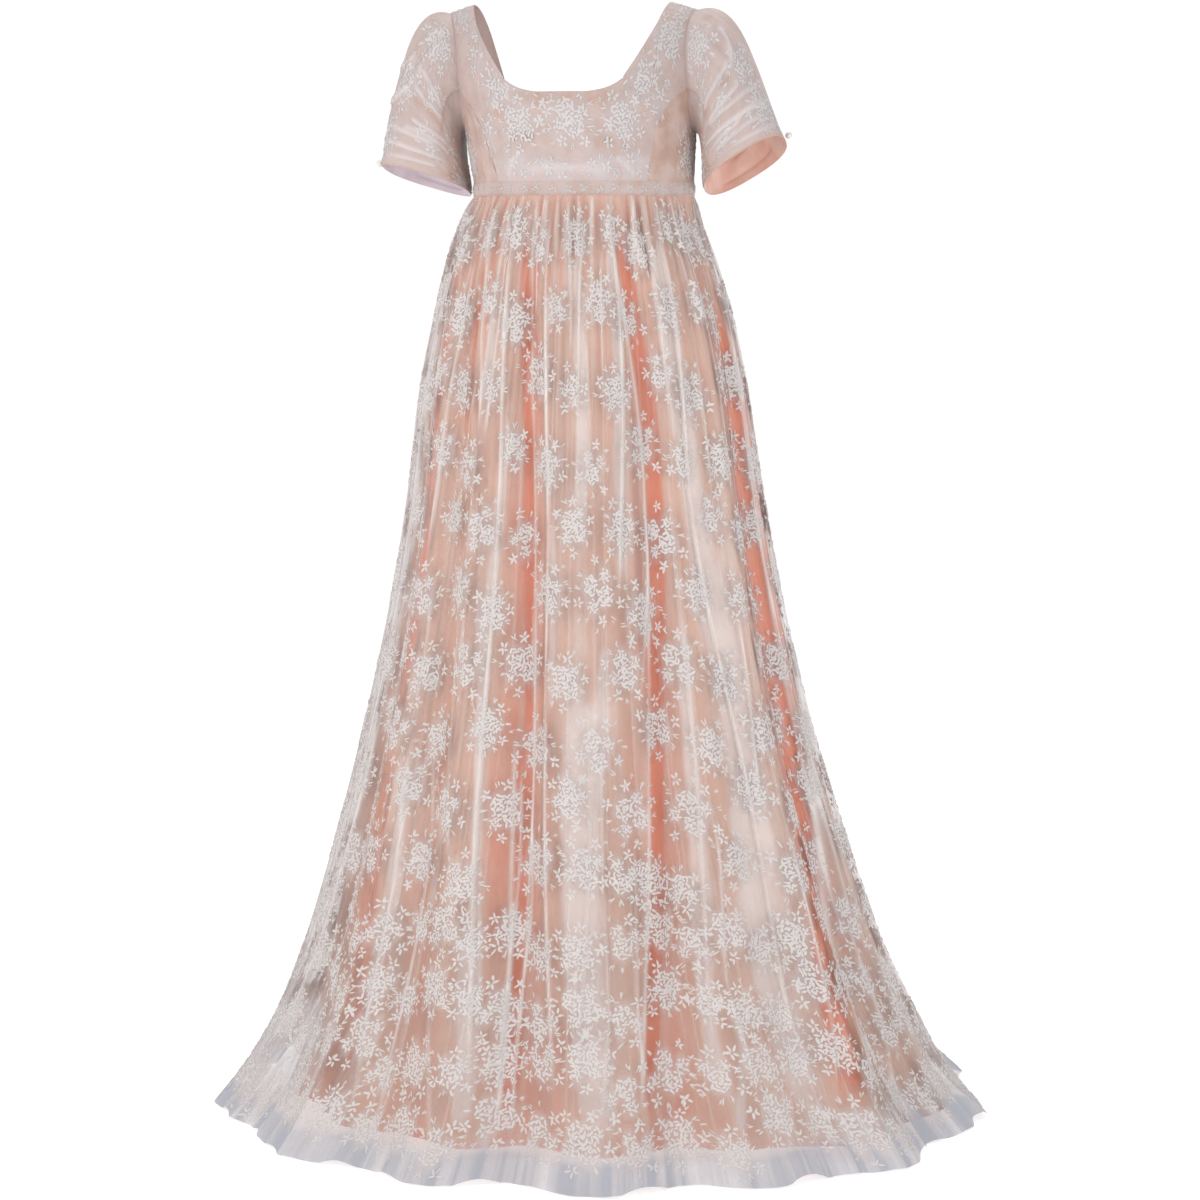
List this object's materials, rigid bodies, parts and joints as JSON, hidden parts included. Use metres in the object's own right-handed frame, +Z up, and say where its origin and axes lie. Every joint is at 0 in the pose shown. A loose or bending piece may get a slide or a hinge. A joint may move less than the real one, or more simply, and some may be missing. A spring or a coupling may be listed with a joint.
{
  "type": "regency gown",
  "caption": "Floor-length empire-line gown with a scooped neck, fitted bodice, short puffed sleeves, a narrow band and a gathered satin skirt under embroidered net.",
  "frame": {"origin": "midway between the tops of the two shoulder straps, where the wearer's shoulders hold the gown up", "axes": "+Z up, the front faces -Y, the wearer's left is +X; the floor under the hem is at z = -1.436 m"},
  "size_m": [1.0077, 0.9465, 1.4359],
  "materials": {
    "laced_satin": "glossy peach satin under fine ivory net with pale embroidered sprays",
    "peach_satin": "glossy peach satin",
    "ivory_net": "sheer ivory net with pale embroidered sprays",
    "pearl": "lustrous pearl button"
  },
  "bodies": {
    "root": {"bodice_front": "laced_satin", "bodice_side_front_left": "laced_satin", "bodice_side_front_right": "laced_satin", "bodice_back_left": "laced_satin", "bodice_back_right": "laced_satin", "waistband": "peach_satin", "sleeve_left": "laced_satin", "sleeve_right": "laced_satin", "sleeve_button_left": "pearl", "sleeve_button_right": "pearl", "skirt_satin_front": "peach_satin", "skirt_satin_back": "peach_satin", "skirt_net_front": "ivory_net", "skirt_net_back": "ivory_net"}
  },
  "joints": []
}
